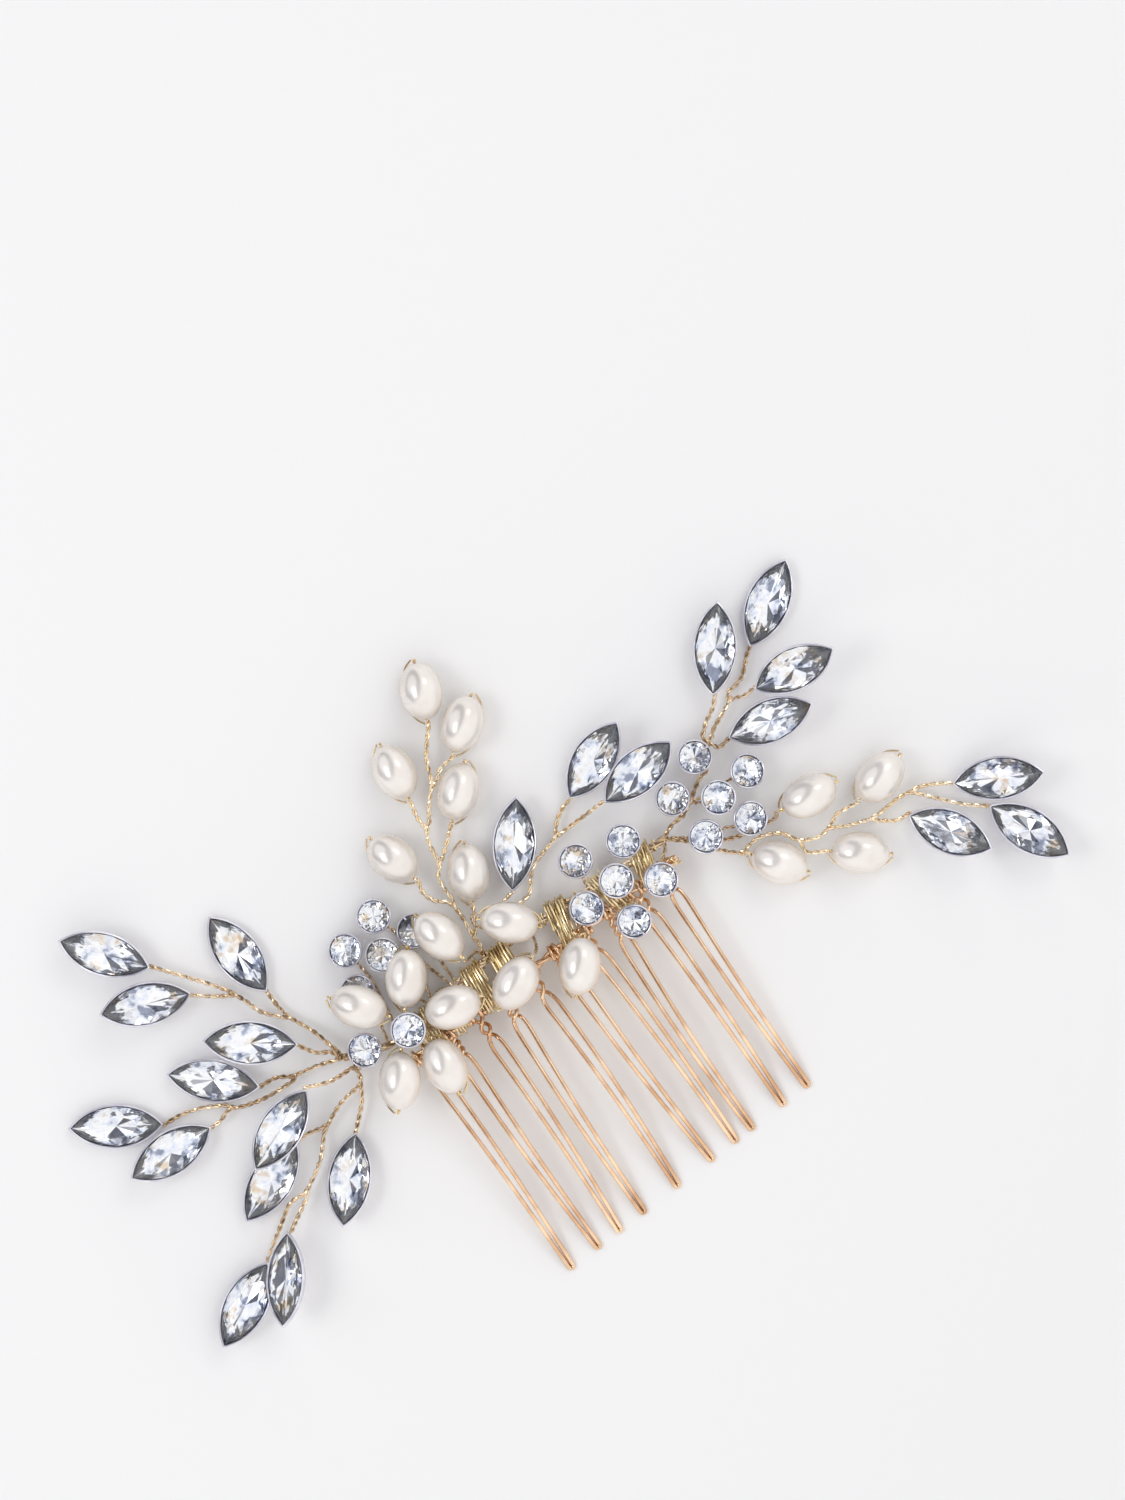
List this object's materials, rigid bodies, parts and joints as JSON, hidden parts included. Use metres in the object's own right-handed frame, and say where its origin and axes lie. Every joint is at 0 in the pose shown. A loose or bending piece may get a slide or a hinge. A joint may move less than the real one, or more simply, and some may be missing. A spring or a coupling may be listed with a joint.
{
  "type": "decorative hair comb",
  "caption": "Ten wire teeth on a spine with bound sprays of pointed oval stones, round stone clusters and oval pearls on twisted wire.",
  "frame": {"origin": "bottom centre of the bounding box, on the surface that the comb lies on", "axes": "+X along the spine, -Y down the teeth, +Z out of the hair"},
  "size_m": [0.1572, 0.0915, 0.0119],
  "materials": {
    "rose_gold_wire": "polished rose gold wire",
    "gold_wire": "polished pale gold twisted wire",
    "silver_setting": "bright plated setting",
    "crystal": "clear cut glass with a foiled back",
    "pearl": "ivory imitation pearl"
  },
  "bodies": {
    "comb": {"comb_spine": "rose_gold_wire", "comb_tooth_01": "rose_gold_wire", "comb_tooth_02": "rose_gold_wire", "comb_tooth_03": "rose_gold_wire", "comb_tooth_04": "rose_gold_wire", "comb_tooth_05": "rose_gold_wire", "comb_tooth_06": "rose_gold_wire", "comb_tooth_07": "rose_gold_wire", "comb_tooth_08": "rose_gold_wire", "comb_tooth_09": "rose_gold_wire", "comb_tooth_10": "rose_gold_wire", "binding_wire": "gold_wire", "vine_wires": "gold_wire", "bead_wires": "gold_wire", "left_cluster_settings": "silver_setting", "left_cluster_stones": "crystal", "middle_cluster_settings": "silver_setting", "middle_cluster_stones": "crystal", "right_cluster_settings": "silver_setting", "right_cluster_stones": "crystal", "flower_settings": "silver_setting", "flower_stones": "crystal"},
    "spray_a": {"spray_a_wires": "gold_wire", "spray_a_settings": "silver_setting", "spray_a_stones": "crystal"},
    "spray_b": {"spray_b_wires": "gold_wire", "spray_b_settings": "silver_setting", "spray_b_stones": "crystal"},
    "spray_c": {"spray_c_wires": "gold_wire", "spray_c_settings": "silver_setting", "spray_c_stones": "crystal"},
    "spray_e": {"spray_e_wires": "gold_wire", "spray_e_settings": "silver_setting", "spray_e_stones": "crystal"},
    "spray_f": {"spray_f_wires": "gold_wire", "spray_f_settings": "silver_setting", "spray_f_stones": "crystal"},
    "spray_g": {"spray_g_wires": "gold_wire", "spray_g_settings": "silver_setting", "spray_g_stones": "crystal"},
    "spray_d": {"spray_d_wires": "gold_wire"},
    "pearl_01": {"pearl_01": "pearl"},
    "pearl_02": {"pearl_02": "pearl"},
    "pearl_03": {"pearl_03": "pearl"},
    "pearl_04": {"pearl_04": "pearl"},
    "pearl_05": {"pearl_05": "pearl"},
    "pearl_06": {"pearl_06": "pearl"},
    "pearl_07": {"pearl_07": "pearl"},
    "pearl_08": {"pearl_08": "pearl"},
    "pearl_09": {"pearl_09": "pearl"},
    "pearl_10": {"pearl_10": "pearl"},
    "pearl_11": {"pearl_11": "pearl"},
    "pearl_12": {"pearl_12": "pearl"},
    "pearl_13": {"pearl_13": "pearl"},
    "pearl_14": {"pearl_14": "pearl"},
    "pearl_15": {"pearl_15": "pearl"},
    "pearl_16": {"pearl_16": "pearl"},
    "pearl_17": {"pearl_17": "pearl"},
    "pearl_18": {"pearl_18": "pearl"},
    "pearl_19": {"pearl_19": "pearl"}
  },
  "joints": [
    {"name": "spray_a_bend", "type": "hinge", "parent": "comb", "child": "spray_a", "pos_m": [-0.0359, 0.0042, 0.0031], "axis": [0.8829, 0.4695, 0], "range_deg": [-15, 25]},
    {"name": "spray_b_bend", "type": "hinge", "parent": "comb", "child": "spray_b", "pos_m": [-0.0363, 0.0033, 0.0036], "axis": [0.1392, 0.9903, 0], "range_deg": [-15, 20]},
    {"name": "spray_c_bend", "type": "hinge", "parent": "comb", "child": "spray_c", "pos_m": [-0.0353, -0.0001, 0.0032], "axis": [-0.3746, 0.9272, 0], "range_deg": [-15, 30]},
    {"name": "spray_d_bend", "type": "hinge", "parent": "comb", "child": "spray_d", "pos_m": [-0.0084, 0.0029, 0.0027], "axis": [0.9397, -0.342, 0], "range_deg": [-15, 25]},
    {"name": "spray_e_bend", "type": "hinge", "parent": "comb", "child": "spray_e", "pos_m": [0.0007, 0.0049, 0.0026], "axis": [0.3746, -0.9272, 0], "range_deg": [-10, 25]},
    {"name": "spray_f_bend", "type": "hinge", "parent": "comb", "child": "spray_f", "pos_m": [0.0395, 0.0069, 0.0024], "axis": [0.4226, -0.9063, 0], "range_deg": [-15, 18]},
    {"name": "spray_g_bend", "type": "hinge", "parent": "comb", "child": "spray_g", "pos_m": [0.0332, -0.0103, 0.0031], "axis": [-0.4067, -0.9136, 0], "range_deg": [-15, 30]},
    {"name": "pearl_01_spin", "type": "hinge", "parent": "spray_d", "child": "pearl_01", "pos_m": [0.0089, 0.0407, 0.0036], "axis": [0.4226, 0.9063, 0], "continuous": true},
    {"name": "pearl_02_spin", "type": "hinge", "parent": "spray_d", "child": "pearl_02", "pos_m": [0.0109, 0.0327, 0.0036], "axis": [0.8191, 0.5736, 0], "continuous": true},
    {"name": "pearl_03_spin", "type": "hinge", "parent": "spray_d", "child": "pearl_03", "pos_m": [-0.0021, 0.0332, 0.0036], "axis": [0.1736, 0.9848, 0], "continuous": true},
    {"name": "pearl_04_spin", "type": "hinge", "parent": "spray_d", "child": "pearl_04", "pos_m": [0.0039, 0.0247, 0.0036], "axis": [0.766, 0.6428, 0], "continuous": true},
    {"name": "pearl_05_spin", "type": "hinge", "parent": "spray_d", "child": "pearl_05", "pos_m": [-0.0106, 0.0227, 0.0034], "axis": [-0.1736, 0.9848, 0], "continuous": true},
    {"name": "pearl_06_spin", "type": "hinge", "parent": "spray_d", "child": "pearl_06", "pos_m": [-0.0026, 0.0137, 0.0034], "axis": [0.5, 0.866, 0], "continuous": true},
    {"name": "pearl_07_spin", "type": "hinge", "parent": "comb", "child": "pearl_07", "pos_m": [0.0469, -0.0093, 0.0046], "axis": [0.9848, -0.1736, 0], "continuous": true},
    {"name": "pearl_08_spin", "type": "hinge", "parent": "spray_g", "child": "pearl_08", "pos_m": [0.0574, -0.0138, 0.0036], "axis": [0.9848, 0.1736, 0], "continuous": true},
    {"name": "pearl_09_spin", "type": "hinge", "parent": "spray_g", "child": "pearl_09", "pos_m": [0.0369, -0.0148, 0.0034], "axis": [0.5736, -0.8191, 0], "continuous": true},
    {"name": "pearl_10_spin", "type": "hinge", "parent": "spray_g", "child": "pearl_10", "pos_m": [0.0479, -0.0213, 0.0034], "axis": [0.766, -0.6428, 0], "continuous": true},
    {"name": "pearl_11_spin", "type": "hinge", "parent": "comb", "child": "pearl_11", "pos_m": [-0.0201, 0.0067, 0.008], "axis": [0.6428, 0.766, 0], "continuous": true},
    {"name": "pearl_12_spin", "type": "hinge", "parent": "comb", "child": "pearl_12", "pos_m": [-0.0286, 0.0077, 0.0084], "axis": [-0.5736, 0.8191, 0], "continuous": true},
    {"name": "pearl_13_spin", "type": "hinge", "parent": "comb", "child": "pearl_13", "pos_m": [-0.0171, -0.0013, 0.0084], "axis": [0.9659, -0.2588, 0], "continuous": true},
    {"name": "pearl_14_spin", "type": "hinge", "parent": "comb", "child": "pearl_14", "pos_m": [-0.0236, -0.0078, 0.008], "axis": [-0.1736, -0.9848, 0], "continuous": true},
    {"name": "pearl_15_spin", "type": "hinge", "parent": "comb", "child": "pearl_15", "pos_m": [-0.0306, -0.0053, 0.0086], "axis": [-0.6428, -0.766, 0], "continuous": true},
    {"name": "pearl_16_spin", "type": "hinge", "parent": "comb", "child": "pearl_16", "pos_m": [-0.0121, 0.0087, 0.0072], "axis": [-0.1736, 0.9848, 0], "continuous": true},
    {"name": "pearl_17_spin", "type": "hinge", "parent": "comb", "child": "pearl_17", "pos_m": [-0.0021, 0.0037, 0.0078], "axis": [0.7071, -0.7071, 0], "continuous": true},
    {"name": "pearl_18_spin", "type": "hinge", "parent": "comb", "child": "pearl_18", "pos_m": [-0.0071, -0.0043, 0.0085], "axis": [-0.9397, -0.342, 0], "continuous": true},
    {"name": "pearl_19_spin", "type": "hinge", "parent": "comb", "child": "pearl_19", "pos_m": [0.0024, -0.0083, 0.008], "axis": [-0.7071, -0.7071, 0], "continuous": true}
  ]
}
